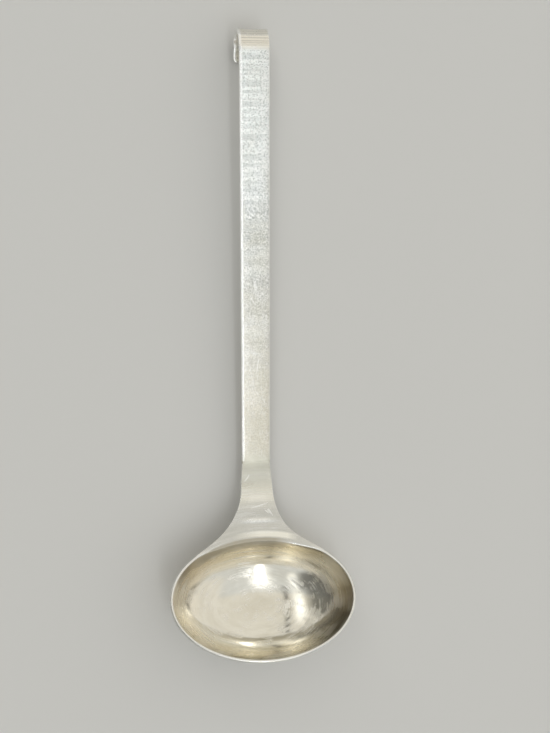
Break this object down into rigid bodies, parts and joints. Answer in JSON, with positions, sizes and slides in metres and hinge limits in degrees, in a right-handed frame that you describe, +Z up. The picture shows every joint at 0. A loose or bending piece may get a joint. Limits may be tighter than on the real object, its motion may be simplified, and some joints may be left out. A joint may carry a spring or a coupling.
{
  "type": "soup ladle",
  "caption": "Stainless soup ladle: oval pressed bowl with a flared neck, welded to a long flat strap handle whose top end is bent back into a hanging hook.",
  "frame": {"origin": "middle of the ladle's length, on its plane of symmetry, on the surface that it lies on", "axes": "+Y along the handle from bowl to hook, +X across the handle, +Z up when it lies on its bowl and hook"},
  "size_m": [0.095, 0.3188, 0.0428],
  "materials": {
    "polished_steel": "worn polish with fine round scratches",
    "satin_steel": "satin, worn by use",
    "ground_weld": "ground flush at the front, as welded at the back"
  },
  "bodies": {
    "root": {"bowl": "polished_steel", "handle": "satin_steel", "weld_seam": "ground_weld"}
  },
  "joints": []
}
